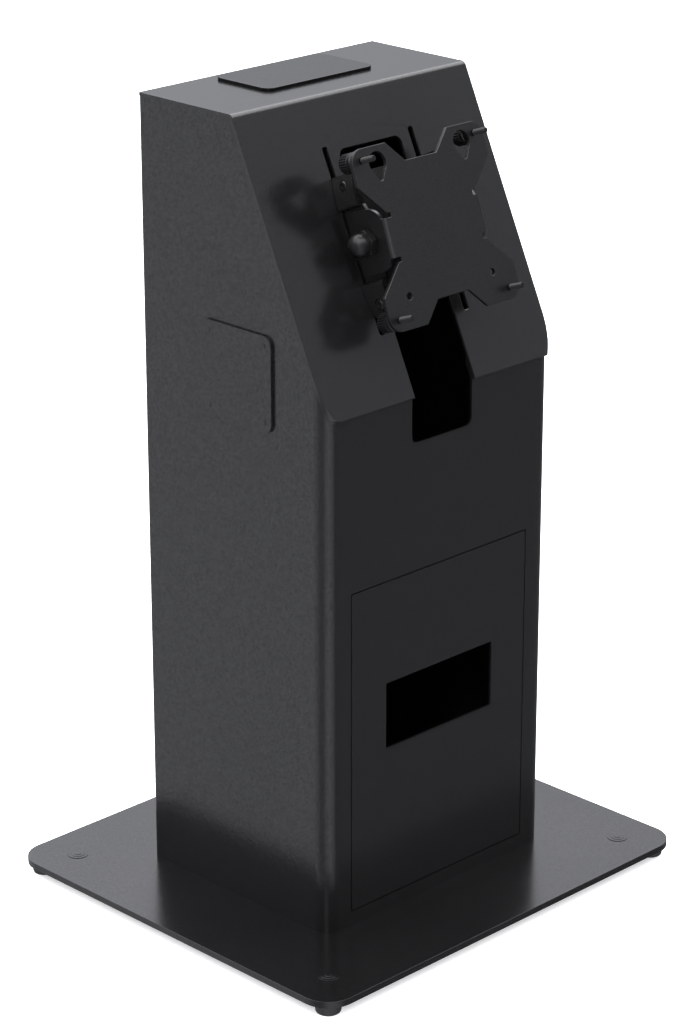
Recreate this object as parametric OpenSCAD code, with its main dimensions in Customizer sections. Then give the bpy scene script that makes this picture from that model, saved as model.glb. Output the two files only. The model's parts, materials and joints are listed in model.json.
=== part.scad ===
// Tablet kiosk stand: a folded steel housing on a base plate, with a printer door in front,
// a locked door behind, and a tilting screen mount on the sloping cover.
// Origin: floor level under the middle of the base. +X is right seen from the front, +Y is back, +Z is up.

/* [Base] */
// Width of the base plate
base_w = 340; // [300:1:420]
// Depth of the base plate
base_d = 303; // [270:1:380]
// Thickness of the base plate
base_t = 4.5; // [3:0.5:8]
// Corner radius of the base plate
base_r = 20; // [12:1:40]
// Diameter of a rubber foot
foot_d = 18.5; // [15:0.5:24]
// Height of a rubber foot
foot_h = 8; // [6.5:0.5:14]
// Distance from the plate's edges to the centre of a foot
foot_inset = 14; // [12:1:18]
// Distance from the plate's edges to the centre of a plugged fixing hole
plug_inset = 30; // [29:1:40]

/* [Housing] */
// Width of the housing
body_w = 207; // [200:1:260]
// Depth of the housing
body_d = 167; // [155:1:200]
// Height of the housing above the base plate
body_h = 530.5; // [500:0.5:650]
// Depth of the flat top, from the back to the start of the slope
top_d = 86; // [76:1:100]
// Angle of the sloping cover above the horizontal
slope_angle = 65; // [60:0.5:70]
// Thickness of the housing's sheet
sheet_t = 2; // [1.5:0.1:2.5]
// Outer radius of the two upright front bends
bend_r = 11; // [5:0.5:14]
// Outer radius of the two upright rear bends
rear_bend_r = 3; // [2.6:0.1:6]
// Width of the inner flange that the cover rests on
flange_w = 14; // [13:0.5:18]
// Width of the bottom flange that is bolted to the base
foot_flange_w = 20; // [18:0.5:24]

/* [Cover] */
// Thickness of the cover's sheet
cover_t = 2.5; // [2:0.1:3]
// Outer radius of the bend between the top and the slope
cover_bend_r = 4; // [3.2:0.2:8]
// How far the cover's sides stand out beyond the housing
cover_side = 0.5; // [0:0.1:1.5]
// How far the slope runs on past the front wall
cover_lip = 1.5; // [0.5:0.1:5]
// How far the cover's back edge stays in front of the rear wall's face
cover_back = 1.2; // [0.5:0.1:3]

/* [Cable slot] */
// Width of the cable slot in the cover and in the front wall
slot_w = 55; // [40:1:60]
// Distance from the top bend down the slope to the slot's upper edge
slot_top = 36.5; // [25:0.5:40]
// Height above the base plate of the slot's lower end in the front wall
slot_bottom = 319; // [290:1:330]
// Corner radius of the cable slot
slot_r = 5.5; // [2:0.5:8]

/* [Printer door] */
// Width of the printer door
door_w = 162; // [150:1:170]
// Height of the printer door
door_h = 221.5; // [200:0.5:240]
// Height of the door's lower edge above the base plate
door_z = 10.5; // [10.5:0.5:20]
// Width of the paper slot
paper_w = 99.5; // [80:0.5:120]
// Height of the paper slot
paper_h = 46; // [30:1:60]
// Height of the paper slot's lower edge above the base plate
paper_z = 116; // [100:1:130]

/* [Doors] */
// Depth of a door's folded edges
return_d = 10; // [8:0.5:14]
// Distance from a door's edge to its pivot pins
pivot_in = 16; // [12:0.5:18]
// Diameter of a door's pivot pin
pin_d = 4; // [3:0.5:5]
// Width of the rear wall on either side of the rear door
rear_side = 16; // [14:0.5:20]
// Height of the rear wall below the rear door
rear_sill = 27; // [27:1:40]
// Height of the rear wall above the rear door
rear_head = 18; // [17:1:30]
// Height of the lock above the base plate
lock_z = 290; // [150:5:400]
// Distance from the rear door's free edge to the lock
lock_in = 24; // [20:1:30]
// Diameter of the lock's threaded barrel
lock_d = 19; // [16:1:20]

/* [Tilting mount] */
// Outside width over the bracket's two ears
bracket_w = 78.9; // [76:0.1:84]
// Length of the bracket along the slope
bracket_l = 90.5; // [86:0.5:96]
// Thickness of the bracket's sheet
bracket_t = 2.5; // [2:0.1:3]
// Height of the ears' ends above the cover
ear_h = 19; // [14:0.5:20]
// Distance from the top bend down the slope to the tilt pivot
pivot_s = 98; // [94:0.5:104]
// Height of the tilt pivot above the cover
pivot_h = 17; // [16.5:0.5:20]
// Diameter of the pivot bolts
pivot_d = 10; // [8:0.5:12]
// How far the bracket slides up the slope
slide_up = 18.5; // [5:0.5:19]
// How far the bracket slides down the slope
slide_down = 10; // [3:0.5:11]
// Width of a guide slot beyond the thickness of an ear
guide_play = 1.5; // [0.8:0.1:2]
// Thickness of the shoes on the ears
shoe_t = 4; // [3:0.5:5]
// Angle between the screen plate and the slope
tilt = 5.5; // [-15:0.5:15]

/* [Screen plate] */
// Distance between the stud centres
stud_pitch = 100; // [100:100]
// Distance between the centres of the smaller hole pattern
hole_pitch = 75; // [75:75]
// Width of the screen plate
plate_w = 117; // [114:1:124]
// Height of the screen plate
plate_h = 115; // [112:1:122]
// Height of the screen plate at its waist
waist_h = 88; // [80:1:94]
// Thickness of the screen plate
plate_t = 2.5; // [2:0.1:3]
// Distance from the pivot to the front of the screen plate
plate_front = 19.5; // [19:0.5:23]
// Length of the fold between the plate and a cheek
fold_l = 25; // [20:1:28]
// Width of a cheek at its back
cheek_w = 40.6; // [36:0.2:42]
// How far a cheek reaches behind the pivot
cheek_back = 9.5; // [7:0.5:9.5]
// Length of thread that stands out of the screen plate
stud_out = 11; // [8:0.5:16]
// Diameter of a thumbscrew's head
thumb_d = 13; // [10:0.5:14]

/* [Cover plates] */
// Width and height of the square plate on the left side
side_plate_s = 63; // [55:1:75]
// Distance between the rivets of the side plate
rivet_pitch = 50; // [42:1:52]
// Width of the plate on the top
top_plate_w = 95; // [70:1:110]
// Depth of the plate on the top
top_plate_d = 50; // [35:1:54]
// Thickness of both cover plates
badge_t = 2; // [1:0.1:3]

/* [Hidden] */
$fn = 64;

// Clearances: for joining cuts, for pins in their holes, for bolts in their holes, between sliding faces,
// between a swinging edge and what it passes, and from a screw's end to the end of its hole
eps = 0.01;
fit = 0.05;
hole_play = 0.25;
slide_gap = 0.3;
edge_play = 0.35;
screw_end = 0.4;

// A straight side that runs into an arc ends this share of the radius from its centre, just inside it
blend = 0.97;

// Fasteners: shank radius, head radius, head height; nuts as width across flats and height
m3_r = 1.5;
m4_r = 2;
m5_r = 2.5;
m3_head = [3.2, 1.8];
m4_head = [4, 2.6];
m5_head = [4.75, 2.8];
m4_nut = [7, 3.2];
m5_nut = [8, 4];
pivot_nut = [1.6 * pivot_d, 5];
pivot_nut_h = 15;
pivot_bolt_out = 10;
washer_r = 4.5;
washer_t = 0.8;

// Main planes
deck_z = foot_h + base_t;
top_z = deck_z + body_h;
front_y = -body_d / 2;
rear_y = body_d / 2;
apex_y = rear_y - top_d;
slope_len = (apex_y - front_y + cover_t * sin(slope_angle)) / cos(slope_angle) + cover_lip;
cover_w = body_w + 2 * cover_side;
cover_front_y = apex_y - slope_len * cos(slope_angle);

// Steel colours
paint = [0.16, 0.16, 0.17];
paint_light = [0.24, 0.24, 0.25];
zinc = [0.7, 0.7, 0.72];
black_steel = [0.1, 0.1, 0.11];
rubber = [0.06, 0.06, 0.06];

// Height of the plane that lies off under the cover's sloping face, at a given y
function slope_z(y, off) = top_z - (apex_y - y) * tan(slope_angle) - off / cos(slope_angle);
function slope_y(z, off) = apex_y - (top_z - z - off / cos(slope_angle)) / tan(slope_angle);

// Corner between the top and the slope at depth off under both
function apex(off) = [slope_y(top_z - off, off), top_z - off];

// Rectangle w wide from y0 to y1, with corners of radius r0 at y0 and r1 at y1
module panel_outline(w, y0, y1, r0, r1) {
    difference() {
        translate([-w / 2, y0]) square([w, y1 - y0]);
        for (side = [-1, 1]) {
            if (r0 > 0) translate([side * w / 2, y0]) square(2 * r0, center = true);
            if (r1 > 0) translate([side * w / 2, y1]) square(2 * r1, center = true);
        }
    }
    for (side = [-1, 1]) {
        if (r0 > 0) translate([side * (w / 2 - r0), y0 + r0]) circle(r0);
        if (r1 > 0) translate([side * (w / 2 - r1), y1 - r1]) circle(r1);
    }
}

// Extrudes an outline drawn as (y, z) along X, and one drawn as (x, z) along Y
module along_x(length) rotate([90, 0, 90]) linear_extrude(length, center = true) children();
module along_y(length) rotate([90, 0, 0]) linear_extrude(length, center = true) children();

// Cylinders that start at the origin and run along +X or +Y
module rod_x(r, length) rotate([0, 90, 0]) cylinder(r = r, h = length);
module rod_y(r, length) rotate([-90, 0, 0]) cylinder(r = r, h = length);

// Hexagonal prism with a bore, standing on z = 0
module hex_nut(size, bore_r) {
    difference() {
        cylinder(r = size[0] / 2 / cos(30), h = size[1], $fn = 6);
        translate([0, 0, -1]) cylinder(r = bore_r, h = size[1] + 2);
    }
}

// Low round screw head on z = 0 with a hexagon socket, and a shank down to -length
module socket_screw(r, head, length) {
    crown_r = 0.7 * head[0];
    rim_h = 0.5 * head[1];
    difference() {
        rotate_extrude() {
            square([head[0], rim_h]);
            square([crown_r, head[1]]);
            intersection() {
                translate([crown_r, rim_h]) circle(head[0] - crown_r);
                square(head);
            }
        }
        translate([0, 0, 0.4 * head[1]]) cylinder(r = 0.75 * r, h = head[1], $fn = 6);
    }
    translate([0, 0, -length]) cylinder(r = r, h = length + eps);
}

// Puts its children on the cover's sloping face, s down the slope from the top bend's corner:
// x is right, y is up the slope and z stands out of it
module on_slope(s = 0, h = 0) {
    translate([0, apex_y, top_z]) rotate([slope_angle, 0, 0]) translate([0, -s, h]) children();
}

// Puts its children in the screen plate's own frame, with the tilt pivot at its origin
module on_screen() on_slope(pivot_s, pivot_h) rotate([tilt, 0, 0]) children();

// Repeats its children at the four corners of a rectangle
module at_corners(dx, dy) {
    for (sx = [-1, 1], sy = [-1, 1]) translate([sx * dx, sy * dy, 0]) children();
}

// Base

plug_hole_r = 4;
foot_recess = m4_head[1] + 0.8;
foot_thread = base_t - 1;
grommet_hole_r = 9;
housing_bolt_x = body_w / 2 - sheet_t - (foot_flange_w - sheet_t) / 2;
housing_bolt_y = body_d / 2 - 24;
tray_w = 130;
tray_l = 120;
tray_h = 20;
tray_foot = 14;
tray_screw_x = tray_w / 2 + tray_foot / 2;
tray_screw_y = tray_l / 2 - 15;
tray_slot_w = 8;

module at_housing_bolts() {
    for (sx = [-1, 1], sy = [-1, 0, 1]) translate([sx * housing_bolt_x, sy * housing_bolt_y, 0]) children();
}

module at_feet() at_corners(base_w / 2 - foot_inset, base_d / 2 - foot_inset) children();

module at_plugs() at_corners(base_w / 2 - plug_inset, base_d / 2 - plug_inset) children();

module base_plate() color(paint_light) {
    difference() {
        translate([0, 0, foot_h]) linear_extrude(base_t)
            panel_outline(base_w, -base_d / 2, base_d / 2, base_r, base_r);
        translate([0, 0, foot_h - 1]) {
            at_feet() cylinder(r = m4_r + fit, h = foot_thread + 1);
            at_plugs() cylinder(r = plug_hole_r, h = base_t + 2);
            at_housing_bolts() cylinder(r = m5_r + hole_play, h = base_t + 2);
            at_corners(tray_screw_x, tray_screw_y) cylinder(r = m4_r + fit, h = base_t + 2);
        }
    }
}

module foot() {
    taper = 1;
    round_r = 1.5;
    rim = 1;
    r = foot_d / 2;
    low_r = r - taper;
    difference() {
        rotate_extrude() {
            polygon([[0, 0], [low_r - round_r, 0], [low_r, round_r], [r, foot_h - rim], [r, foot_h], [0, foot_h]]);
            translate([low_r - round_r, round_r]) circle(round_r);
        }
        translate([0, 0, -1]) cylinder(r = m4_head[0] + 2 * hole_play, h = foot_recess + 1);
        translate([0, 0, -1]) cylinder(r = m4_r + hole_play, h = foot_h + 2);
    }
}

module feet() color(rubber) at_feet() foot();

module foot_screws() color(zinc) {
    at_feet() translate([0, 0, foot_recess]) mirror([0, 0, 1])
        socket_screw(m4_r, m4_head, foot_h + foot_thread - screw_end - foot_recess);
}

// Stepped snap-in plug that closes a hole for fixing the base to a counter
module plug() {
    step_r = [7, 4.7, 2.4];
    step_z = [0.35, 0.65, 0.95];
    barb_h = 1;
    barb_gap = 0.2;
    for (i = [0:2]) cylinder(r = step_r[i], h = step_z[i]);
    translate([0, 0, -base_t - barb_gap - barb_h]) {
        cylinder(r = plug_hole_r - fit, h = base_t + barb_gap + barb_h + eps);
        cylinder(r = plug_hole_r + 0.6, h = barb_h);
    }
}

module hole_plugs() color(black_steel) at_plugs() translate([0, 0, deck_z]) plug();

// Housing

// Side view of the housing under the cover, moved in by i, with room for the inside of the cover's bend
module side_profile(i) {
    beyond = 20;
    relief = (cover_bend_r - cover_t) * tan(slope_angle / 2) + 0.3;
    corner = apex(cover_t + i);
    low_y = front_y - beyond;
    polygon([[low_y, deck_z + i], [rear_y + beyond, deck_z + i], [rear_y + beyond, corner[1]],
        corner + [relief, 0], corner - relief * [cos(slope_angle), sin(slope_angle)],
        [low_y, slope_z(low_y, cover_t + i)]]);
}

module housing_block(i) {
    intersection() {
        along_x(body_w + 20) side_profile(i);
        translate([0, 0, deck_z - 10]) linear_extrude(body_h + 20)
            panel_outline(body_w - 2 * i, front_y + i, rear_y - i, bend_r - i, rear_bend_r - i);
    }
}

// A door's pins stand clear of its leaf, and its edge swings out past its own line as it opens
pivot_back = sheet_t + pin_d / 2 + 0.6;
swing_out = sqrt(pivot_in * pivot_in + 2 * pivot_back * sheet_t - sheet_t * sheet_t) - pivot_in;
door_gap = swing_out + edge_play;

opening_w = door_w + 2 * door_gap;
opening_z = deck_z + door_z - door_gap;
opening_h = door_h + 2 * door_gap;
rear_opening_w = body_w - 2 * rear_side;
rear_opening_z = deck_z + rear_sill;
rear_opening_h = top_z - cover_t - rear_head - rear_opening_z;
rear_door_w = rear_opening_w - 2 * door_gap;
rear_door_h = rear_opening_h - 2 * door_gap;

// Places of the cover's welded studs: on the sloping flange and on the top's rear flange
cover_stud_x = body_w / 2 - sheet_t - (flange_w - sheet_t) / 2;
cover_stud_s = [slot_top + 8, slope_len - 45];
cover_stud_l = 9;
top_stud_x = body_w / 2 - 45;
top_stud_y = rear_y - sheet_t - (flange_w - sheet_t) / 2;
grommet_z = deck_z + 14;
side_plate_z = deck_z + 364.5;
side_plate_y = -5.5;

module at_cover_studs() {
    for (side = [-1, 1]) {
        for (s = cover_stud_s) on_slope(s, -cover_t) translate([side * cover_stud_x, 0, 0]) children();
        translate([side * top_stud_x, top_stud_y, top_z - cover_t]) children();
    }
}

module at_rivets() {
    translate([-body_w / 2, side_plate_y, side_plate_z]) for (sy = [-1, 1], sz = [-1, 1])
        translate([0, sy * rivet_pitch / 2, sz * rivet_pitch / 2]) children();
}

module housing() color(paint) {
    reach = cover_t + sheet_t;
    difference() {
        housing_block(0);
        housing_block(sheet_t);
        // Inner edges of the flanges under the slope, under the top and on the base
        on_slope(0, -reach - 1) linear_extrude(reach)
            panel_outline(body_w - 2 * flange_w, -slope_len + flange_w, -flange_w - 4, 3, 3);
        translate([0, 0, top_z - reach - 1]) linear_extrude(reach)
            panel_outline(body_w - 2 * flange_w, apex_y + flange_w, rear_y - flange_w, 3, 3);
        translate([0, 0, deck_z - 1]) linear_extrude(sheet_t + 2)
            panel_outline(body_w - 2 * foot_flange_w, front_y + foot_flange_w, rear_y - foot_flange_w, 3, 3);
        // Door openings
        translate([0, front_y, opening_z]) along_y(3 * sheet_t) panel_outline(opening_w, 0, opening_h, 1, 1);
        translate([0, rear_y, rear_opening_z]) along_y(3 * sheet_t)
            panel_outline(rear_opening_w, 0, rear_opening_h, 1, 1);
        // Cable slot, in the front wall and in the flange behind it
        translate([0, front_y, deck_z]) along_y(4 * flange_w)
            panel_outline(slot_w, slot_bottom, body_h, slot_r, 0);
        // Holes for bolts, studs, grommet and rivets
        translate([0, 0, deck_z - 1]) at_housing_bolts() cylinder(r = m5_r + hole_play, h = sheet_t + 2);
        at_cover_studs() translate([0, 0, -sheet_t - 1]) cylinder(r = m4_r + hole_play, h = sheet_t + 2);
        translate([0, rear_y - 2 * sheet_t, grommet_z]) rod_y(grommet_hole_r, 3 * sheet_t);
        at_rivets() translate([-1, 0, 0]) rod_x(rivet_r + fit, sheet_t + 2);
    }
}

module housing_bolts() color(zinc) {
    at_housing_bolts() translate([0, 0, foot_h]) mirror([0, 0, 1])
        socket_screw(m5_r, m5_head, base_t + sheet_t + m5_nut[1] + 1.5);
}

module housing_nuts() color(zinc) {
    at_housing_bolts() translate([0, 0, deck_z + sheet_t]) hex_nut(m5_nut, m5_r + fit);
}

// Rubber ring in the rear sill, with a groove that grips the sheet
module cable_grommet() color(rubber) {
    lip = 2.2;
    bore_r = 6.5;
    translate([0, rear_y - sheet_t / 2, grommet_z]) rotate([90, 0, 0]) rotate_extrude() difference() {
        panel_outline(2 * (grommet_hole_r + lip), -sheet_t / 2 - lip, sheet_t / 2 + lip, 1, 1);
        translate([-100, -50]) square([100 + bore_r, 100]);
        translate([grommet_hole_r - fit, -sheet_t / 2 - fit]) square([10, sheet_t + 2 * fit]);
    }
}

// Cover

guide_x = bracket_w / 2 - bracket_t / 2;
guide_w = bracket_t + guide_play;
guide_r = 0.3 * guide_w;
guide_top = pivot_s - bracket_l / 2 - slide_up - guide_r;
guide_bottom = pivot_s + bracket_l / 2 + slide_down + guide_r;
bracket_stud_x = (slot_w / 2 + guide_x - guide_w / 2) / 2;
bracket_stud_y = 22;
bracket_stud_l = slide_gap + bracket_t + slide_gap + washer_t + m4_nut[1] + 2;

// Region under the bent cover's face, for a bend of radius r about the bend's centre
module under_bend(r, end_y) {
    run = slope_len + 50;
    centre = [apex_y + cover_bend_r * tan(slope_angle / 2), top_z - cover_bend_r];
    tangent = centre + r * [-sin(slope_angle), cos(slope_angle)];
    low = tangent - run * [cos(slope_angle), sin(slope_angle)];
    polygon([low, [end_y, low[1]], [end_y, centre[1] + r], centre + [0, r], tangent]);
    translate(centre) circle(r);
}

// Side view of the bent cover, cut square at the foot of the slope
module cover_profile() {
    difference() {
        under_bend(cover_bend_r, rear_y + 10);
        under_bend(cover_bend_r - cover_t, rear_y + 20);
        translate([apex_y, top_z]) rotate(slope_angle) translate([-slope_len - 200, -100]) square([200, 200]);
    }
}

module at_bracket_studs() {
    for (sx = [-1, 1], sy = [-1, 1])
        on_slope(pivot_s - sy * bracket_stud_y, -cover_t) translate([sx * bracket_stud_x, 0, 0]) children();
}

module cover() color(paint_light) {
    difference() {
        intersection() {
            along_x(cover_w + 20) cover_profile();
            translate([0, 0, deck_z]) linear_extrude(body_h + 10)
                panel_outline(cover_w, cover_front_y, rear_y - cover_back, bend_r + cover_side + 0.5, 1);
        }
        on_slope(0, -cover_t - 1) linear_extrude(cover_t + 2) {
            panel_outline(slot_w, -slope_len - 20, -slot_top, 0, slot_r);
            for (side = [-1, 1]) translate([side * guide_x, 0])
                panel_outline(guide_w, -guide_bottom, -guide_top, guide_r, guide_r);
        }
    }
    at_cover_studs() translate([0, 0, -cover_stud_l]) cylinder(r = m4_r, h = cover_stud_l + 0.5);
    at_bracket_studs() translate([0, 0, -bracket_stud_l]) cylinder(r = m4_r, h = bracket_stud_l + 0.5);
}

module cover_nuts() color(zinc) {
    at_cover_studs() translate([0, 0, -sheet_t - m4_nut[1]]) hex_nut(m4_nut, m4_r + fit);
}

// Bare cover plates

badge_r = 6;
rivet_r = 1.2;
rivet_head_r = 1.7;
rivet_head_h = 0.35;
top_plate_y = rear_y - 9.5 - top_plate_d / 2;

module side_plate() color(paint) {
    difference() {
        translate([-body_w / 2 - badge_t / 2, side_plate_y, side_plate_z]) along_x(badge_t)
            panel_outline(side_plate_s, -side_plate_s / 2, side_plate_s / 2, badge_r, badge_r);
        at_rivets() translate([-badge_t - 1, 0, 0]) rod_x(rivet_r + fit, badge_t + 2);
    }
}

module side_plate_rivets() color(black_steel) {
    at_rivets() {
        translate([-badge_t, 0, 0]) rod_x(rivet_r, badge_t + sheet_t + 0.5);
        translate([-badge_t - rivet_head_h, 0, 0]) rod_x(rivet_head_r, rivet_head_h);
        translate([sheet_t, 0, 0]) rod_x(rivet_head_r, 1);
    }
}

module top_plate() color(paint_light) {
    translate([0, top_plate_y, top_z]) linear_extrude(badge_t)
        panel_outline(top_plate_w, -top_plate_d / 2, top_plate_d / 2, badge_r, badge_r);
}

// Tray for the printer

module printer_tray() color(paint) {
    difference() {
        translate([0, 0, deck_z]) {
            along_y(tray_l) difference() {
                union() {
                    panel_outline(tray_w, 0, tray_h, 0, 3);
                    translate([-tray_w / 2 - tray_foot, 0]) square([tray_w + 2 * tray_foot, sheet_t]);
                }
                translate([0, -1]) panel_outline(tray_w - 2 * sheet_t, 0, tray_h + 1 - sheet_t, 0, 1);
            }
        }
        translate([0, 0, deck_z - 1]) at_corners(tray_screw_x, tray_screw_y)
            cylinder(r = m4_r + hole_play, h = sheet_t + 2);
        for (sx = [-1, 0, 1]) translate([sx * tray_w / 3.5, 0, deck_z + tray_h - sheet_t - 1])
            linear_extrude(sheet_t + 2)
                panel_outline(tray_slot_w, -tray_l / 3, tray_l / 3, tray_slot_w / 2 - eps, tray_slot_w / 2 - eps);
    }
}

module tray_screws() color(zinc) {
    at_corners(tray_screw_x, tray_screw_y) translate([0, 0, deck_z + sheet_t])
        socket_screw(m4_r, m4_head, sheet_t + base_t - screw_end);
}

// Doors. Each is drawn closed in a frame whose origin is its pivot axis at its lower edge:
// x runs to the free edge, y runs inwards and z is up.

tab_t = 2;
tab_gap = 0.5;
pin_head_r = pin_d / 2 + 0.5;
pin_head_h = 1;
corner_cut = 6;

module door_frame_front() translate([-door_w / 2 + pivot_in, front_y + pivot_back, deck_z + door_z]) children();

module door_frame_rear() {
    translate([rear_door_w / 2 - pivot_in, rear_y - pivot_back, rear_opening_z + door_gap])
        rotate([0, 0, 180]) children();
}

// Flat door with folded edges at top, bottom and pivot side, and holes for its pins.
// The upper and lower folds stop short of the free edge.
module door_leaf(w, h) {
    difference() {
        translate([-pivot_in, -pivot_back, 0]) {
            cube([w, sheet_t, h]);
            for (z = [0, h - sheet_t]) translate([0, 0, z]) cube([w - corner_cut, return_d + sheet_t, sheet_t]);
            cube([sheet_t, return_d + sheet_t, h]);
        }
        for (z = [0, h - sheet_t]) translate([0, 0, z - 1]) cylinder(r = pin_d / 2 + fit, h = sheet_t + 2);
    }
}

// Angle welded behind the wall, beyond the door's upper or lower edge, that carries a pin
module hinge_tab() {
    tab_w = 24;
    weld_h = 6;
    beyond_pin = pin_d / 2 + 5;
    difference() {
        translate([-tab_w / 2, sheet_t - pivot_back, 0]) {
            cube([tab_w, beyond_pin + pivot_back - sheet_t, tab_t]);
            cube([tab_w, tab_t, weld_h]);
        }
        translate([0, 0, -1]) cylinder(r = pin_d / 2 + fit, h = weld_h);
        translate([0, 0, tab_t]) cylinder(r = pin_head_r + 2 * hole_play, h = weld_h);
    }
}

// Headed pin through a tab, pointing into the door
module hinge_pin() {
    past = 1.5;
    length = past + sheet_t + tab_gap + tab_t;
    translate([0, 0, tab_t - length]) cylinder(r = pin_d / 2, h = length + eps);
    translate([0, 0, tab_t]) cylinder(r = pin_head_r, h = pin_head_h);
}

// Places its children above a door of height h, and mirrored below it
module at_hinge_ends(h) {
    translate([0, 0, h + tab_gap]) children();
    translate([0, 0, -tab_gap]) mirror([0, 0, 1]) children();
}

module printer_door() color(paint) {
    difference() {
        door_frame_front() door_leaf(door_w, door_h);
        translate([0, front_y, deck_z + paper_z]) along_y(3 * sheet_t) panel_outline(paper_w, 0, paper_h, 0.5, 0.5);
    }
}

module printer_door_tabs() color(paint) door_frame_front() at_hinge_ends(door_h) hinge_tab();

module printer_door_pins() color(zinc) door_frame_front() at_hinge_ends(door_h) hinge_pin();

// Strip of thin sheet welded behind the wall beside a door's free edge: it steps inwards by step
// and reaches back behind the edge by reach. x = 0 is the free edge, y = 0 the back of the wall.
strip_t = 1.5;
strip_foot = 10;

module edge_strip(step, reach, h) {
    x0 = door_gap + slide_gap;
    translate([x0, 0, 0]) cube([strip_foot, strip_t, h]);
    translate([x0, 0, 0]) cube([strip_t, step + strip_t, h]);
    translate([-reach, step, 0]) cube([reach + x0 + strip_t, strip_t, h]);
}

// Catch behind the printer door's free edge: a bracket on the front wall and the magnet that it holds
catch_l = 40;
catch_z = door_h - catch_l - 12;
catch_x = door_w - pivot_in;
catch_reach = 13;
magnet_size = [9, 5.3, 34];

module catch_bracket() color(paint) {
    door_frame_front() translate([catch_x, sheet_t - pivot_back, catch_z])
        edge_strip(slide_gap + magnet_size[1], catch_reach, catch_l);
}

module catch_magnet() color(black_steel) {
    door_frame_front() translate([catch_x, sheet_t - pivot_back, catch_z])
        translate([1 - catch_reach, slide_gap, (catch_l - magnet_size[2]) / 2]) cube(magnet_size);
}

lock_x = rear_door_w - pivot_in - lock_in;
lock_door_z = deck_z + lock_z - rear_opening_z - door_gap;

// Puts its children on the rear door's outer face at the lock, with z standing out of the door
module at_lock() {
    door_frame_rear() translate([lock_x, -pivot_back, lock_door_z]) rotate([90, 0, 0]) children();
}

module rear_door() color(paint) {
    difference() {
        door_frame_rear() door_leaf(rear_door_w, rear_door_h);
        at_lock() translate([0, 0, -sheet_t - 1]) cylinder(r = lock_d / 2 + fit, h = sheet_t + 2);
    }
}

module rear_door_tabs() color(paint) door_frame_rear() at_hinge_ends(rear_door_h) hinge_tab();

module rear_door_pins() color(zinc) door_frame_rear() at_hinge_ends(rear_door_h) hinge_pin();

// Stops that the rear door's free edge closes against
module rear_door_stops() color(paint) {
    stop_l = 24;
    door_frame_rear() for (z = [0.12, 0.88] * rear_door_h)
        translate([rear_door_w - pivot_in, sheet_t - pivot_back, z - stop_l / 2]) edge_strip(slide_gap, 4, stop_l);
}

// Cam lock
barrel_l = 12;
bezel_t = 2;
lock_nut_size = [lock_d + 5, 3];
lock_screw_head = [5.5, 2.2];
plug_r = 6;
plug_end = -barrel_l - 0.5;
cam_t = 2;
cam_w = 13;
cam_square = 7;
cam_reach = lock_in + door_gap + 8;

module lock_barrel() color(zinc) {
    at_lock() difference() {
        union() {
            cylinder(r = lock_d / 2 + 2, h = bezel_t);
            translate([0, 0, -barrel_l]) cylinder(r = lock_d / 2, h = barrel_l + eps);
        }
        translate([0, 0, -barrel_l - 1]) cylinder(r = plug_r + fit, h = barrel_l + bezel_t + 2);
    }
}

module lock_nut() color(zinc) {
    at_lock() translate([0, 0, -sheet_t - lock_nut_size[1]]) hex_nut(lock_nut_size, lock_d / 2 + fit);
}

// Turning plug with a key slot in front, and a square behind that carries the cam
module lock_plug() color(zinc) {
    key = [1.6, 8, 4];
    at_lock() difference() {
        union() {
            translate([0, 0, plug_end]) cylinder(r = plug_r, h = bezel_t - plug_end);
            translate([0, 0, plug_end - cam_t]) cube([cam_square, cam_square, 2 * cam_t], center = true);
        }
        translate([0, 0, bezel_t - key[2]]) linear_extrude(key[2] + 1)
            panel_outline(key[0], -key[1] / 2, key[1] / 2, 0.5, 0.5);
        translate([0, 0, plug_end - 2 * cam_t - 1]) cylinder(r = m4_r + fit, h = 2 * cam_t + 4);
    }
}

// Cranked cam: it hangs down when the lock is open and turns behind the rear wall's edge when it is shut
module lock_cam() color(zinc) {
    hub_z = plug_end - cam_t;
    tip_z = -sheet_t - 0.5 - cam_t;
    bend_a = lock_d / 2 + 4;
    bend_b = bend_a + 7;
    hole = cam_square + 2 * fit;
    at_lock() difference() {
        union() {
            translate([0, 0, hub_z]) cylinder(r = cam_w / 2, h = cam_t);
            rotate([90, 0, -90]) linear_extrude(cam_w, center = true)
                polygon([[0, hub_z], [bend_a, hub_z], [bend_b, tip_z], [cam_reach, tip_z], [cam_reach, tip_z + cam_t],
                    [bend_b - 1, tip_z + cam_t], [bend_a - 1, hub_z + cam_t], [0, hub_z + cam_t]]);
        }
        translate([0, 0, hub_z]) cube([hole, hole, 3 * cam_t], center = true);
    }
}

module lock_screw() color(zinc) {
    at_lock() translate([0, 0, plug_end - 2 * cam_t]) mirror([0, 0, 1])
        socket_screw(m4_r, lock_screw_head, 2 * cam_t + 1);
}

// Tilting mount. The bracket's base slides behind the cover and its ears stand out through the guide slots.

bracket_z0 = -cover_t - slide_gap - bracket_t;
hump_r = 1.1 * pivot_d;
hump_foot = 24;
friction_t = 0.6;
cheek_gap = 0.2;
cheek_in = bracket_w / 2 + friction_t + cheek_gap;
cheek_out = cheek_in + plate_t;
shoe_y = norm([cheek_w / 2, cheek_back]) + edge_play;
shoe_seat = 1.2;
shoe_screw_y = bracket_l / 2 - 7;
shoe_screw_h = ear_h / 2;

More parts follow.
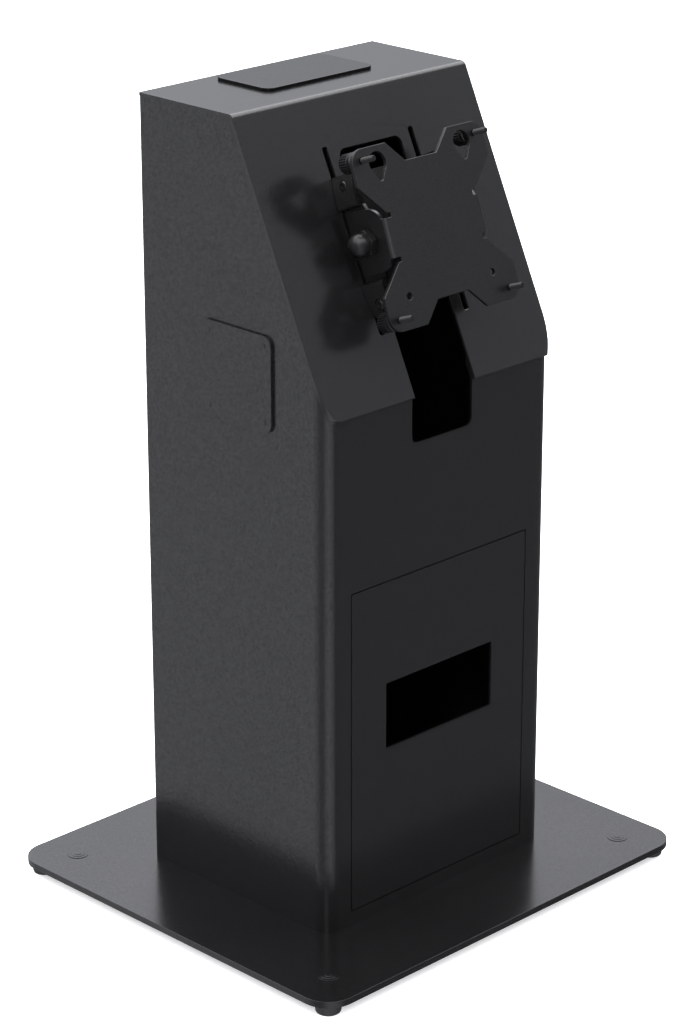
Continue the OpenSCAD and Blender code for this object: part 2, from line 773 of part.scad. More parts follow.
// Side view of an ear: a low plate that rises to the pivot, its sides tangent to the hump
module ear_profile() {
    dz = ear_h - pivot_h;
    run = sqrt(hump_foot * hump_foot + dz * dz);
    a = atan2(dz, hump_foot) + acos(hump_r / run);
    panel_outline(bracket_l, bracket_z0 - 1, ear_h, 0, 3);
    translate([0, pivot_h]) circle(hump_r);
    tangent = blend * hump_r * [cos(a), sin(a)] + [0, pivot_h];
    low = [hump_foot, ear_h] + 0.4 * ([hump_foot, ear_h] - tangent);
    polygon([low, tangent, [-tangent[0], tangent[1]], [-low[0], low[1]]]);
}

module mount_bracket() color(black_steel) {
    bend = 4;
    top = pivot_h + hump_r + 1;
    on_slope(pivot_s) difference() {
        intersection() {
            along_y(bracket_l) difference() {
                panel_outline(bracket_w, bracket_z0, top, bend, 0);
                panel_outline(bracket_w - 2 * bracket_t, bracket_z0 + bracket_t, top + 1, bend - bracket_t, 0);
            }
            along_x(bracket_w + 2) ear_profile();
        }
        for (sx = [-1, 1], sy = [-1, 1]) translate([sx * bracket_stud_x, sy * bracket_stud_y, bracket_z0 - 1])
            linear_extrude(bracket_t + 2)
                panel_outline(2 * m4_r + 0.6, -slide_up - m4_r - 0.3, slide_down + m4_r + 0.3, m4_r, m4_r);
        translate([-bracket_w / 2 - 1, 0, pivot_h]) rod_x(pivot_d / 2 + fit, bracket_w + 2);
        for (sy = [-1, 1]) translate([-bracket_w / 2 - 1, sy * shoe_screw_y, shoe_screw_h])
            rod_x(m3_r + fit, bracket_w + 2);
    }
}

module bracket_washers() color(zinc) {
    at_bracket_studs() translate([0, 0, -2 * slide_gap - bracket_t - washer_t]) difference() {
        cylinder(r = washer_r, h = washer_t);
        translate([0, 0, -1]) cylinder(r = m4_r + fit, h = washer_t + 2);
    }
}

module bracket_nuts() color(zinc) {
    at_bracket_studs() translate([0, 0, -2 * slide_gap - bracket_t - washer_t - m4_nut[1]])
        hex_nut(m4_nut, m4_r + fit);
}

// Puts its children on the outer face of each end of each ear: x stands out of the ear, y runs from the pivot
// to the ear's end and z out of the cover
module at_ear_ends() {
    on_slope(pivot_s) for (side = [0, 1], end = [0, 1]) mirror([side, 0, 0]) mirror([0, end, 0])
        translate([bracket_w / 2, 0, 0]) children();
}

// Shoe that slides on the cover beside a guide slot and keeps the bracket from dropping inside. Seen from the
// front it swells from the ear's end towards the cheek and ends there in a round nose.
module guide_shoe() {
    swell_r = 60;
    nose_r = shoe_t + 0.5;
    bore_r = m3_head[0] + hole_play;
    difference() {
        translate([0, 0, slide_gap]) linear_extrude(ear_h - 2 * slide_gap) intersection() {
            translate([shoe_t - swell_r, shoe_y + nose_r * 0.7]) circle(swell_r, $fn = 360);
            union() {
                translate([0, shoe_y + nose_r]) circle(nose_r);
                translate([0, shoe_y + nose_r]) square([2 * shoe_t, bracket_l / 2 - shoe_y - nose_r]);
            }
            translate([0, 0]) square([2 * shoe_t, bracket_l]);
        }
        translate([-1, shoe_screw_y, shoe_screw_h]) rod_x(m3_r + hole_play, 2 * shoe_t);
        translate([shoe_seat, shoe_screw_y, shoe_screw_h]) rod_x(bore_r, 2 * shoe_t);
    }
}

module guide_shoes() color(black_steel) at_ear_ends() guide_shoe();

module stop_screws() color(zinc) {
    at_ear_ends() translate([shoe_seat, shoe_screw_y, shoe_screw_h]) rotate([0, 90, 0])
        socket_screw(m3_r, m3_head, shoe_seat + bracket_t + 3);
}

module friction_washers() color("white") {
    on_slope(pivot_s, pivot_h) for (side = [0, 1]) mirror([side, 0, 0]) translate([bracket_w / 2, 0, 0])
        difference() {
            rod_x(9, friction_t);
            translate([-1, 0, 0]) rod_x(pivot_d / 2 + fit, friction_t + 2);
        }
}

module pivot_bolts() color(black_steel) {
    head_h = 4.5;
    on_slope(pivot_s, pivot_h) for (side = [0, 1]) mirror([side, 0, 0]) {
        translate([bracket_w / 2 - bracket_t - head_h, 0, 0]) rod_x(0.8 * pivot_d, head_h);
        translate([bracket_w / 2 - bracket_t - eps, 0, 0])
            rod_x(pivot_d / 2, bracket_t + cheek_out + pivot_bolt_out - bracket_w / 2);
    }
}

// Domed nut: a hexagon with chamfered corners under a cylinder and a round dome
module domed_nut() {
    flat_r = pivot_nut[0] / 2;
    hex_h = pivot_nut[1];
    chamfer = [1.5, 0.8];
    dome_r = flat_r - 0.5;
    difference() {
        union() {
            intersection() {
                cylinder(r = flat_r / cos(30), h = hex_h, $fn = 6);
                rotate_extrude() polygon([[0, 0], [flat_r, 0], [flat_r + chamfer[0], chamfer[1]],
                    [flat_r + chamfer[0], hex_h - chamfer[1]], [flat_r, hex_h], [0, hex_h]]);
            }
            rotate_extrude() intersection() {
                union() {
                    square([dome_r, pivot_nut_h - dome_r]);
                    translate([0, pivot_nut_h - dome_r]) circle(dome_r);
                }
                square([flat_r, pivot_nut_h]);
            }
        }
        translate([0, 0, -1]) cylinder(r = pivot_d / 2 + fit, h = pivot_bolt_out + 2);
    }
}

module pivot_nuts() color(black_steel) {
    on_slope(pivot_s, pivot_h) for (side = [0, 1]) mirror([side, 0, 0])
        translate([cheek_out + cheek_gap, 0, 0]) rotate([0, 90, 0]) domed_nut();
}

// Screen plate: the flat front, its two folds and its two cheeks

fold_r = 3;
fold_x = cheek_out - fold_r;
arm_foot = 16;
arm_in = 14;

module plate_outline() {
    w = plate_w / 2;
    h = plate_h / 2;
    r = 10;
    waist = waist_h / 2;
    arm = [[fold_x, arm_foot], [w, arm_foot + w - fold_x], [w, h], [arm_in + h - waist, h], [arm_in, waist]];
    last = len(arm) - 1;
    difference() {
        polygon([for (turn = [[1, 1], [-1, 1], [-1, -1], [1, -1]], i = [0:last])
            let (p = arm[turn[0] * turn[1] > 0 ? i : last - i]) [turn[0] * p[0], turn[1] * p[1]]]);
        for (sx = [-1, 1], sy = [-1, 1]) translate([sx * w, sy * h]) square(2 * r, center = true);
    }
    for (sx = [-1, 1], sy = [-1, 1]) translate([sx * (w - r), sy * (h - r)]) circle(r);
}

// Round entry with straight sides that close on a narrow seat below it
module keyhole_outline() {
    entry_r = 7.2;
    seat_r = 2.3;
    drop = 9;
    a = acos((entry_r - seat_r) / drop);
    seat = blend * seat_r * [sin(a), -cos(a)];
    entry = blend * entry_r * [sin(a), -cos(a)] + [0, drop];
    translate([0, drop]) circle(entry_r);
    circle(seat_r);
    polygon([seat, entry, [-entry[0], entry[1]], [-seat[0], seat[1]]]);
}

module screen_plate() color(paint_light) {
    relief = 3;
    on_screen() difference() {
        union() {
            translate([0, 0, plate_front - plate_t]) linear_extrude(plate_t) difference() {
                plate_outline();
                for (sx = [-1, 1], sy = [-1, 1]) translate([sx * fold_x, sy * (fold_l + relief) / 2])
                    square([2 * relief, relief + 2 * eps], center = true);
                for (sx = [-1, 1]) {
                    translate([sx * hole_pitch / 2, hole_pitch / 2]) keyhole_outline();
                    translate([sx * hole_pitch / 2, -hole_pitch / 2]) circle(m4_r + 0.3);
                    for (sy = [-1, 1]) translate([sx * stud_pitch / 2, sy * stud_pitch / 2]) circle(m4_r + 2 * fit);
                }
            }
            along_y(fold_l) difference() {
                panel_outline(2 * cheek_out, 0, plate_front, 0, fold_r);
                panel_outline(2 * cheek_in, -1, plate_front - plate_t, 0, fold_r - plate_t);
            }
            for (side = [-1, 1]) translate([side * (cheek_in + plate_t / 2), 0, 0]) along_x(plate_t)
                panel_outline(cheek_w, -cheek_back, plate_front - fold_r, 1.5, 12);
        }
        translate([-cheek_out - 1, 0, 0]) rod_x(pivot_d / 2 + fit, 2 * cheek_out + 2);
    }
}

// Captive thumbscrew on z = 0 at the plate's back: a narrow neck through the plate with the thread in front
// of it, and a collar and a fluted head behind
module thumbscrew() {
    flutes = 18;
    flute_r = 0.6;
    flute_depth = 0.3;
    collar = 1.6;
    head_l = 10.5;
    edge = 0.8;
    tip = 0.6;
    r = thumb_d / 2;
    thread_z = plate_t + slide_gap;
    head_z = -slide_gap - collar - head_l;
    groove_z = head_l - 3;
    translate([0, 0, -slide_gap - eps]) cylinder(r = m4_r - 0.3, h = slide_gap + thread_z + 2 * eps);
    translate([0, 0, thread_z]) {
        cylinder(r = m4_r, h = stud_out - slide_gap - tip + eps);
        translate([0, 0, stud_out - slide_gap - tip]) cylinder(r1 = m4_r, r2 = m4_r - tip, h = tip);
    }
    translate([0, 0, head_z]) difference() {
        rotate_extrude() {
            translate([0, head_l - eps]) square([r - 2, collar + eps]);
            difference() {
                polygon([[0, 0], [r - edge, 0], [r, edge], [r, head_l - edge], [r - edge, head_l], [0, head_l]]);
                translate([r, groove_z]) circle(0.9);
            }
        }
        for (i = [0:flutes - 1]) rotate([0, 0, i * 360 / flutes])
            translate([r + flute_r - flute_depth, 0, -1]) cylinder(r = flute_r, h = groove_z + 0.5, $fn = 16);
    }
}

module place_thumbscrew(sx, sy) color(black_steel) {
    on_screen() translate([sx * stud_pitch / 2, sy * stud_pitch / 2, plate_front - plate_t]) thumbscrew();
}

module thumbscrew_upper_left() place_thumbscrew(-1, 1);

module thumbscrew_upper_right() place_thumbscrew(1, 1);

module thumbscrew_lower_left() place_thumbscrew(-1, -1);

module thumbscrew_lower_right() place_thumbscrew(1, -1);

base_plate();
feet();
foot_screws();
hole_plugs();
housing();
housing_bolts();
housing_nuts();
cable_grommet();
cover();
cover_nuts();
side_plate();
side_plate_rivets();
top_plate();
printer_tray();
tray_screws();
printer_door();
printer_door_tabs();
printer_door_pins();
catch_bracket();
catch_magnet();
rear_door();
rear_door_tabs();
rear_door_pins();
rear_door_stops();
lock_barrel();
lock_nut();
lock_plug();
lock_cam();
lock_screw();
mount_bracket();
bracket_washers();
bracket_nuts();
guide_shoes();
stop_screws();
friction_washers();
pivot_bolts();
pivot_nuts();
screen_plate();
thumbscrew_upper_left();
thumbscrew_upper_right();
thumbscrew_lower_left();
thumbscrew_lower_right();
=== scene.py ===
"""Looks of a tablet kiosk stand: finishes, rounded sheet edges and threaded hardware on its CAD frame."""

import json
import math

import bpy
from mathutils import Matrix, Vector


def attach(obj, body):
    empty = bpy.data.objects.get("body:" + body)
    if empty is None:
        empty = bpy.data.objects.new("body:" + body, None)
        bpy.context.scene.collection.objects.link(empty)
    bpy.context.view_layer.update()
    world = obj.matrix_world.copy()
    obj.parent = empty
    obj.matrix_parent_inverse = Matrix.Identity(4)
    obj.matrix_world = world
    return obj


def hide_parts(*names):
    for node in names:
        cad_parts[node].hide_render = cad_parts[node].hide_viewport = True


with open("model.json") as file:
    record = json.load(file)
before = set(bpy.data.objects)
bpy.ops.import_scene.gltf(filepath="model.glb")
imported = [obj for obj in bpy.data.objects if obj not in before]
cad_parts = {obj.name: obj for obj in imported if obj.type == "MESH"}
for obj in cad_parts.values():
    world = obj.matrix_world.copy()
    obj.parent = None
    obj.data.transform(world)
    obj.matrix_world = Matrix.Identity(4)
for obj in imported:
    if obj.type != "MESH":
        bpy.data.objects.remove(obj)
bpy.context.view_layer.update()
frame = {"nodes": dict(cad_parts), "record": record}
NODES = frame["nodes"]
MM = 0.001


# Materials: sizes, grains and depths are in millimetres, shades and roughnesses from 0 to 1

# The part of a noise's values that is stretched over the whole output
NOISE_RANGE = (0.3, 0.7)
# Powder coat: wide clouds in its roughness, specks in its shade
CLOUD_SIZE = 90
CLOUD_ROUGHNESS = 0.03
SPECK_TO_GRAIN = 2.2
SPECK_SHADES = (0.85, 1.2)
NEUTRAL_GLOSS = 0.5
# Plating: stains in its colour, marks in its roughness
STAIN_SIZE = 6
STAIN_SHADE = 0.82
MARK_SIZE = 0.7
MARK_DEPTH = 0.01
MARK_ROUGHNESS = (-0.06, 0.08)
# Mouldings: patches in their shade
PATCH_SIZE = 5
PATCH_SHADES = (0.85, 1.15)
SKIN_ROUGHNESS = 0.05


def new_material(name, **settings):
    """A material with a Principled shader whose sockets have the given values."""
    material = bpy.data.materials.new(name)
    material.use_nodes = True
    shader = material.node_tree.nodes["Principled BSDF"]
    for socket, value in settings.items():
        shader.inputs[socket.replace("_", " ")].default_value = value
    return material, material.node_tree, shader


def noise(tree, size, detail, roughness=0.5):
    """A noise of the given feature size, in the part's own coordinates."""
    place = tree.nodes.new("ShaderNodeTexCoord")
    node = tree.nodes.new("ShaderNodeTexNoise")
    node.inputs["Scale"].default_value = 1 / (size * MM)
    node.inputs["Detail"].default_value = detail
    node.inputs["Roughness"].default_value = roughness
    tree.links.new(place.outputs["Object"], node.inputs["Vector"])
    return node.outputs["Fac"]


def spread(tree, value, low, high, span=NOISE_RANGE):
    """Maps a value's span to low and high."""
    node = tree.nodes.new("ShaderNodeMapRange")
    node.inputs["From Min"].default_value = span[0]
    node.inputs["From Max"].default_value = span[1]
    node.inputs["To Min"].default_value = low
    node.inputs["To Max"].default_value = high
    tree.links.new(value, node.inputs["Value"])
    return node.outputs["Result"]


def tint(tree, value, dark, light):
    """Maps a noise's middle range to two colours."""
    node = tree.nodes.new("ShaderNodeValToRGB")
    for element, position, colour in zip(node.color_ramp.elements, NOISE_RANGE, (dark, light)):
        element.position = position
        element.color = (*colour, 1)
    tree.links.new(value, node.inputs["Fac"])
    return node.outputs["Color"]


def bump(tree, shader, *layers):
    """Stacks (height, depth, strength) layers into the shader's normal."""
    normal = None
    for height, depth, strength in layers:
        node = tree.nodes.new("ShaderNodeBump")
        node.inputs["Distance"].default_value = depth * MM
        node.inputs["Strength"].default_value = strength
        tree.links.new(height, node.inputs["Height"])
        if normal is not None:
            tree.links.new(normal, node.inputs["Normal"])
        normal = node.outputs["Normal"]
    tree.links.new(normal, shader.inputs["Normal"])


def grey(value, blue=1.04):
    """A grey whose blue is a little stronger, or weaker, than its red and green."""
    return (value, value, value * blue)


def powder_coat(name, shade, roughness, grain, depth, ior=1.5, sparkle=0.12):
    """Black powder coat with a fine pebbled skin, whose gloss varies by sparkle from pebble to pebble."""
    material, tree, shader = new_material(name, IOR=ior)
    cloud = noise(tree, CLOUD_SIZE, detail=2)
    pebble = noise(tree, grain, detail=2, roughness=0.6)
    speck = noise(tree, SPECK_TO_GRAIN * grain, detail=4, roughness=0.7)
    dark, light = (grey(shade * factor) for factor in SPECK_SHADES)
    gloss = spread(tree, pebble, NEUTRAL_GLOSS - sparkle, NEUTRAL_GLOSS + sparkle)
    worn = spread(tree, cloud, roughness - CLOUD_ROUGHNESS, roughness + CLOUD_ROUGHNESS)
    tree.links.new(tint(tree, speck, dark, light), shader.inputs["Base Color"])
    tree.links.new(gloss, shader.inputs["Specular IOR Level"])
    tree.links.new(worn, shader.inputs["Roughness"])
    bump(tree, shader, (pebble, depth, 1.0), (speck, 1.5 * depth, 0.6))
    return material


def plated(name, colour, roughness, metallic=1.0):
    """Plated steel with faint marks of machining and handling."""
    material, tree, shader = new_material(name, Metallic=metallic)
    marks = noise(tree, MARK_SIZE, detail=4, roughness=0.6)
    stain = noise(tree, STAIN_SIZE, detail=3)
    dark = tuple(STAIN_SHADE * c for c in colour)
    smooth, dull = (roughness + change for change in MARK_ROUGHNESS)
    tree.links.new(tint(tree, stain, dark, colour), shader.inputs["Base Color"])
    tree.links.new(spread(tree, marks, smooth, dull), shader.inputs["Roughness"])
    bump(tree, shader, (marks, MARK_DEPTH, 0.6))
    return material


def moulded(name, shade, roughness, grain=0.4, depth=0.02, blue=1.0, ior=1.48):
    """Rubber, nylon or black plating with a soft skin."""
    material, tree, shader = new_material(name, IOR=ior)
    skin = noise(tree, grain, detail=3)
    patch = noise(tree, PATCH_SIZE, detail=2)
    dark, light = (grey(shade * factor, blue) for factor in PATCH_SHADES)
    worn = spread(tree, skin, roughness - SKIN_ROUGHNESS, roughness + SKIN_ROUGHNESS)
    tree.links.new(tint(tree, patch, dark, light), shader.inputs["Base Color"])
    tree.links.new(worn, shader.inputs["Roughness"])
    bump(tree, shader, (skin, depth, 0.8))
    return material


MATERIALS = {
    "base_paint": powder_coat("base_powder", 0.003, 0.19, grain=1.2, depth=0.024, sparkle=0.08),
    "body_paint": powder_coat("body_powder", 0.0045, 0.2, grain=1.8, depth=0.07, sparkle=0.145),
    "bracket_paint": powder_coat("bracket_powder", 0.003, 0.3, grain=0.6, depth=0.008),
    # The interior's coat is a lighter shade than the outer coats: painted light, standing in for the light
    # that reaches inside the housing
    "inner_paint": powder_coat("inner_powder_painted_light", 0.01, 0.45, grain=0.5, depth=0.02),
    "zinc": plated("zinc_plate", (0.62, 0.62, 0.64), 0.3),
    "black_zinc": moulded("black_plate", 0.003, 0.34, grain=0.7, depth=0.01, ior=1.38),
    "lock_chrome": plated("satin_chrome", (0.72, 0.72, 0.74), 0.2),
    "rubber": moulded("foot_rubber", 0.012, 0.6),
    "plug_plastic": moulded("plug_nylon", 0.005, 0.24, depth=0.004),
    "magnet": plated("ferrite", (0.07, 0.07, 0.075), 0.5, metallic=0.3),
    "nylon": moulded("washer_nylon", 0.6, 0.45, blue=0.95),
}

# Nodes whose coat differs from their slot's: the cover is smoother than the housing and the plate on it
# smoother still. The rivets, the base's plugs and the bracket's screws are painted with what they sit in
OWN_COAT = {
    "cover": powder_coat("cover_powder", 0.005, 0.2, grain=0.9, depth=0.015),
    "side_plate_rivets": MATERIALS["body_paint"],
    "top_plate": powder_coat("top_plate_powder", 0.003, 0.12, grain=0.9, depth=0.01, ior=1.3),
    "hole_plugs": MATERIALS["base_paint"],
    "stop_screws": MATERIALS["bracket_paint"],
}


# Edges: rounds are in millimetres

USUAL_ROUND = 0.3
EDGE_ROUND = {
    "base_plate": 0.6,
    "feet": 0.4,
    "side_plate": 0.4,
    "top_plate": 0.4,
    "screen_plate": 0.25,
    "cover": 0.55,
    "hole_plugs": 0.12,
}
WELD_DISTANCE = 0.002
FLAT_ANGLE = math.radians(0.2)
SHARP_ANGLE = math.radians(40)


def finish_node(node, slot):
    """Gives a CAD node its material, and small rounds on its sharp edges."""
    node.data.materials.clear()
    node.data.materials.append(OWN_COAT.get(node.name, MATERIALS[slot]))
    weld = node.modifiers.new("weld", "WELD")
    weld.merge_threshold = WELD_DISTANCE * MM
    flats = node.modifiers.new("flats", "DECIMATE")
    flats.decimate_type = "DISSOLVE"
    flats.angle_limit = FLAT_ANGLE
    bevel = node.modifiers.new("edges", "BEVEL")
    bevel.width = EDGE_ROUND.get(node.name, USUAL_ROUND) * MM
    bevel.segments = 2
    bevel.limit_method = "ANGLE"
    bevel.angle_limit = SHARP_ANGLE
    # The cover's shortest edges would shrink all its rounds
    bevel.use_clamp_overlap = node.name != "cover"
    bevel.face_strength_mode = "FSTR_ALL"
    normals = node.modifiers.new("normals", "WEIGHTED_NORMAL")
    normals.use_face_influence = True
    normals.keep_sharp = True


for subpart in frame["record"]["subparts"]:
    finish_node(NODES[subpart["node"]], subpart["material_slot"])


# Thumbscrews: lengths are in millimetres, heights along the axis from the back of the screen plate

HEAD_LENGTH = 10.5
GROOVE_TO_BACK = 7.5
GROOVE_HALF = 0.4
CHAMFER = 0.6
FLUTES = 24
FLUTE_DEPTH = 0.55
# How far each plain section lies inside the head's radius
INSET = {"rim": 0, "edge": 0.7, "groove": 0.9, "collar": 2}
COLLAR_END = -0.3
NECK_R = 1.7
THREAD_START = 2.8
THREAD_PITCH = 0.7
THREAD_DEPTH = 0.5
CREST_R = 1.95
# The thread tapers at its tip
LEAD_IN = 0.6
LEAD_IN_DEPTH = 0.3
# Heights over which one section passes into the next
STEP = 0.02
NECK_STEP = 0.05
# Mesh fineness
COLUMNS = 4 * FLUTES
ROWS_PER_TURN = 8
SPLIT_ANGLE = math.radians(35)


def turned_mesh(name, sections, radius, columns):
    """A closed solid turned about z.

    Each section is (start, end, rows, kind), and radius(kind, z, angle) is its form.
    """
    rings = []
    angles = [2 * math.pi * i / columns for i in range(columns)]
    for start, end, rows, kind in sections:
        for row in range(rows + 1):
            z = start + (end - start) * row / rows
            radii = [radius(kind, z, angle) for angle in angles]
            rings.append([(r * math.cos(angle), r * math.sin(angle), z) for r, angle in zip(radii, angles)])
    verts = [Vector(point) * MM for ring in rings for point in ring]
    faces = []
    for first in range(0, (len(rings) - 1) * columns, columns):
        for i in range(columns):
            j = (i + 1) % columns
            faces.append((first + i, first + j, first + columns + j, first + columns + i))
    last = (len(rings) - 1) * columns
    faces.append(tuple(reversed(range(columns))))
    faces.append(tuple(range(last, last + columns)))
    mesh = bpy.data.meshes.new(name)
    mesh.from_pydata(verts, [], faces)
    return mesh


def thumbscrew(joint, node):
    """A thumbscrew with a fluted head, a collar and a cut thread.

    It lies on the joint's axis, between the ends of its CAD node.
    """
    origin = Vector(joint["pos_m"])
    axis = Vector(joint["axis"]).normalized()
    offsets = [v.co - origin for v in node.data.vertices]
    heights = [o.dot(axis) / MM for o in offsets]
    back, tip = min(heights), max(heights)
    head_r = max((o - axis * o.dot(axis)).length for o in offsets) / MM
    head_end = back + HEAD_LENGTH
    groove = back + GROOVE_TO_BACK

    def radius(kind, z, angle):
        if kind == "flutes":
            return head_r - FLUTE_DEPTH * (0.5 + 0.5 * math.cos(FLUTES * angle)) ** 2
        if kind == "thread":
            turn = (z / THREAD_PITCH - angle / (2 * math.pi)) % 1
            lead_in = 1 - min(1, (tip - z) / LEAD_IN)
            return CREST_R - THREAD_DEPTH * (1 - abs(2 * turn - 1)) - LEAD_IN_DEPTH * lead_in
        return NECK_R if kind == "neck" else head_r - INSET[kind]

    thread_rows = round((tip - THREAD_START) / THREAD_PITCH * ROWS_PER_TURN)
    sections = [
        (back, back + STEP, 1, "edge"),
        (back + CHAMFER, groove - 2 * GROOVE_HALF, 3, "flutes"),
        (groove - GROOVE_HALF, groove + GROOVE_HALF, 1, "groove"),
        (groove + 2 * GROOVE_HALF, head_end - CHAMFER, 1, "rim"),
        (head_end, head_end + STEP, 1, "edge"),
        (head_end + 2 * STEP, COLLAR_END, 1, "collar"),
        (COLLAR_END + STEP, THREAD_START - NECK_STEP, 1, "neck"),
        (THREAD_START, tip, thread_rows, "thread"),
    ]
    mesh = turned_mesh(node.name + "_look", sections, radius, COLUMNS)
    mesh.materials.append(MATERIALS["black_zinc"])
    for polygon in mesh.polygons:
        polygon.use_smooth = len(polygon.vertices) == 4
    screw = bpy.data.objects.new(node.name + "_look", mesh)
    bpy.context.scene.collection.objects.link(screw)
    screw.matrix_world = Matrix.Translation(origin) @ axis.to_track_quat("Z", "Y").to_matrix().to_4x4()
    edges = screw.modifiers.new("normals", "EDGE_SPLIT")
    edges.split_angle = SPLIT_ANGLE
    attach(screw, joint["child"])
    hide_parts(node.name)


for joint in frame["record"]["behaviour"]["joints"]:
    if joint["child"].startswith("screw_"):
        thumbscrew(joint, NODES[joint["child"].replace("screw_", "thumbscrew_")])


# Camera: places are in metres

PHOTO_SIZE = (696, 1031)
FOCAL_PIXELS = 3293
LONG_SIDE = 36.0
EYE = Vector((-1.4385, -1.4375, 1.0209))
LOOK_AT = Vector((-0.0063, -0.0053, 0.2574))


def aim(thing, place, target):
    """Puts a camera or light at a place and turns it towards a target."""
    thing.location = place
    thing.rotation_mode = "QUATERNION"
    thing.rotation_quaternion = (Vector(target) - Vector(place)).to_track_quat("-Z", "Y")


def make_camera():
    """The photograph's camera. Its lens is given for the long side of the picture."""
    data = bpy.data.cameras.new("camera")
    data.sensor_width = LONG_SIDE
    data.lens = LONG_SIDE * FOCAL_PIXELS / PHOTO_SIZE[1]
    camera = bpy.data.objects.new("camera", data)
    aim(camera, EYE, LOOK_AT)
    bpy.context.scene.collection.objects.link(camera)
    bpy.context.scene.camera = camera


# Studio: places are in metres, lamp powers in watts

STRIP_PLACE = (-1.7, -1.5, 1.5)
STRIP_TARGET = (0, 0, 0.4)
STRIP_SIZE = (0.1, 1.6)
STRIP_POWER = 1
SKY_STRENGTH = 6.5
SKY_ANGLE = math.radians(110)
FLOOR_HALF = 12
FLOOR_ALBEDO = 0.86
FLOOR_GLOW = 0.5

# Studio walls: brightness against the side, from the right front (-1) to the left back (1), low down and
# high up, for the half of the room in front of the stand and the half behind it
LEFT_BACK = (-0.7071, 0.7071, 0)
BEHIND = (0.7071, 0.7071, 0)
UP = (0, 0, 1)
LOW_FRONT = [
    (-1, 0.21), (-0.8, 0.22), (-0.6, 0.8), (-0.2, 1.2), (0.1, 0.9),
    (0.3, 0.45), (0.65, 0.45), (0.88, 0.82), (1, 0.92),
]
HIGH_FRONT = [
    (-1, 0.6), (-0.5, 0.45), (-0.25, 0.5), (-0.05, 1.6), (0.1, 2.6),
    (0.25, 1.5), (0.4, 0.5), (0.7, 0.6), (1, 0.9),
]
LOW_BACK = [(-1, 0.21), (-0.5, 0.22), (0, 0.3), (0.6, 0.6), (1, 0.92)]
HIGH_BACK = [(-1, 0.8), (-0.4, 1.4), (0, 1.85), (0.4, 2.0), (1, 1.0)]
# The upward parts of a direction between which low turns into high
FRONT_RISE = (-0.15, 0.3)
BACK_RISE = (0.08, 0.5)
# The backward parts of a direction between which the front half turns into the back half
HALVES_MEET = (-0.15, 0.15)
WALL_COLOUR = (0.945, 0.965, 1.03, 1)
BACKDROP = 1.1


def make_strip():
    """A faint upright strip lamp above the camera."""
    data = bpy.data.lights.new("strip", "AREA")
    data.shape = "RECTANGLE"
    data.size, data.size_y = STRIP_SIZE
    data.energy = STRIP_POWER
    light = bpy.data.objects.new("strip", data)
    aim(light, STRIP_PLACE, STRIP_TARGET)
    bpy.context.scene.collection.objects.link(light)


def make_sky():
    """Wide soft light from straight above."""
    data = bpy.data.lights.new("sky", "SUN")
    data.energy = SKY_STRENGTH
    data.angle = SKY_ANGLE
    light = bpy.data.objects.new("sky", data)
    bpy.context.scene.collection.objects.link(light)


def make_floor():
    """A pale floor, far wider than the view.

    Its glare is kept off the coat, so that the walls mirror the studio.
    """
    mesh = bpy.data.meshes.new("floor")
    corners = [(x * FLOOR_HALF, y * FLOOR_HALF, 0) for x, y in ((-1, -1), (1, -1), (1, 1), (-1, 1))]
    mesh.from_pydata(corners, [], [(0, 1, 2, 3)])
    floor = bpy.data.objects.new("floor", mesh)
    bpy.context.scene.collection.objects.link(floor)
    material, _, _ = new_material(
        "floor_paper",
        Base_Color=(*grey(FLOOR_ALBEDO, blue=1), 1),
        Roughness=0.9,
        Specular_IOR_Level=0.1,
        Emission_Color=(1, 1, 1, 1),
        Emission_Strength=FLOOR_GLOW,
    )
    mesh.materials.append(material)
    floor.visible_glossy = False


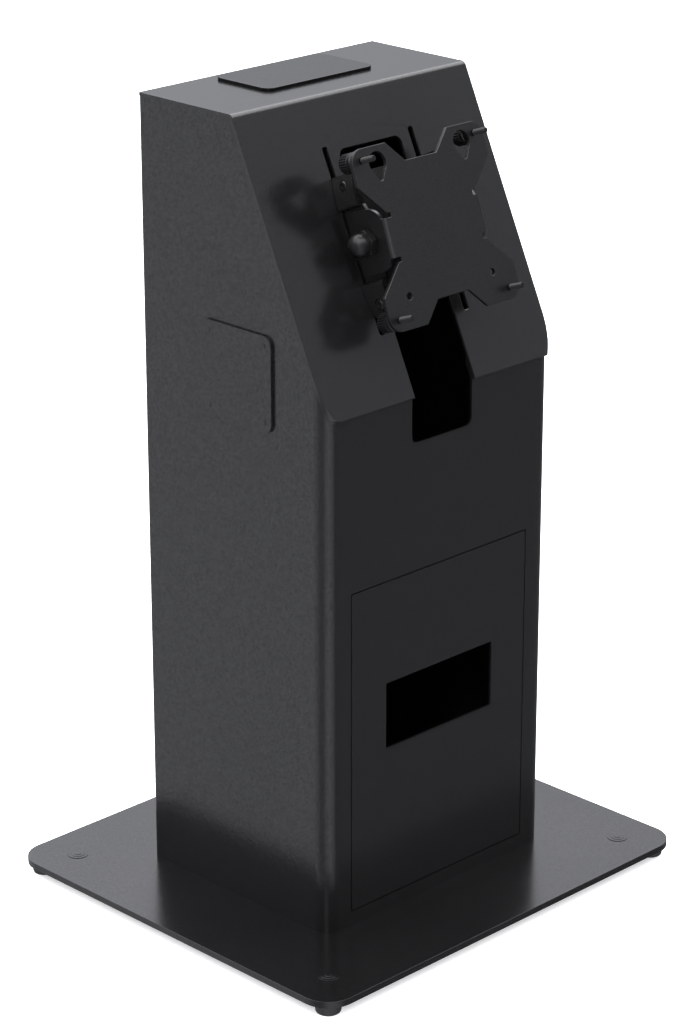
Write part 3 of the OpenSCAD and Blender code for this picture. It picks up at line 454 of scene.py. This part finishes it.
def brightness_ramp(tree, value, stops):
    """Brightness by a value from -1 to 1, through (value, brightness) stops."""
    brightest = max(level for place, level in stops)
    spot = spread(tree, value, 0, 1, span=(-1, 1))
    node = tree.nodes.new("ShaderNodeValToRGB")
    ramp = node.color_ramp
    while len(ramp.elements) < len(stops):
        ramp.elements.new(0.5)
    for element, (place, level) in zip(ramp.elements, stops):
        element.position = (place + 1) / 2
        element.color = (*grey(level / brightest, blue=1), 1)
    tree.links.new(spot, node.inputs["Fac"])
    times = tree.nodes.new("ShaderNodeMath")
    times.operation = "MULTIPLY"
    times.inputs[1].default_value = brightest
    tree.links.new(node.outputs["Color"], times.inputs[0])
    return times.outputs["Value"]


def blended(tree, factor, first, second):
    """Mixes two values."""
    node = tree.nodes.new("ShaderNodeMix")
    tree.links.new(factor, node.inputs[0])
    tree.links.new(first, node.inputs[2])
    tree.links.new(second, node.inputs[3])
    return node.outputs[0]


def along(tree, direction, axis):
    """How far a direction points along an axis."""
    node = tree.nodes.new("ShaderNodeVectorMath")
    node.operation = "DOT_PRODUCT"
    node.inputs[1].default_value = axis
    tree.links.new(direction, node.inputs[0])
    return node.outputs["Value"]


def make_world():
    """A studio brighter or darker by direction, seen by the camera as a plain pale backdrop."""
    world = bpy.data.worlds.new("studio")
    world.use_nodes = True
    tree = world.node_tree
    background = tree.nodes["Background"]
    background.inputs["Color"].default_value = WALL_COLOUR
    direction = tree.nodes.new("ShaderNodeTexCoord").outputs["Generated"]
    side = along(tree, direction, LEFT_BACK)
    height = along(tree, direction, UP)
    halves = []
    for low, high, span in ((LOW_FRONT, HIGH_FRONT, FRONT_RISE), (LOW_BACK, HIGH_BACK, BACK_RISE)):
        rise = spread(tree, height, 0, 1, span)
        levels = [brightness_ramp(tree, side, stops) for stops in (low, high)]
        halves.append(blended(tree, rise, *levels))
    behind = spread(tree, along(tree, direction, BEHIND), 0, 1, HALVES_MEET)
    backdrop = tree.nodes.new("ShaderNodeMix")
    backdrop.inputs[3].default_value = BACKDROP
    tree.links.new(tree.nodes.new("ShaderNodeLightPath").outputs["Is Camera Ray"], backdrop.inputs[0])
    tree.links.new(blended(tree, behind, *halves), backdrop.inputs[2])
    tree.links.new(backdrop.outputs[0], background.inputs["Strength"])
    bpy.context.scene.world = world


bpy.context.scene.view_settings.view_transform = "Standard"
make_camera()
make_world()
make_sky()
make_floor()
make_strip()
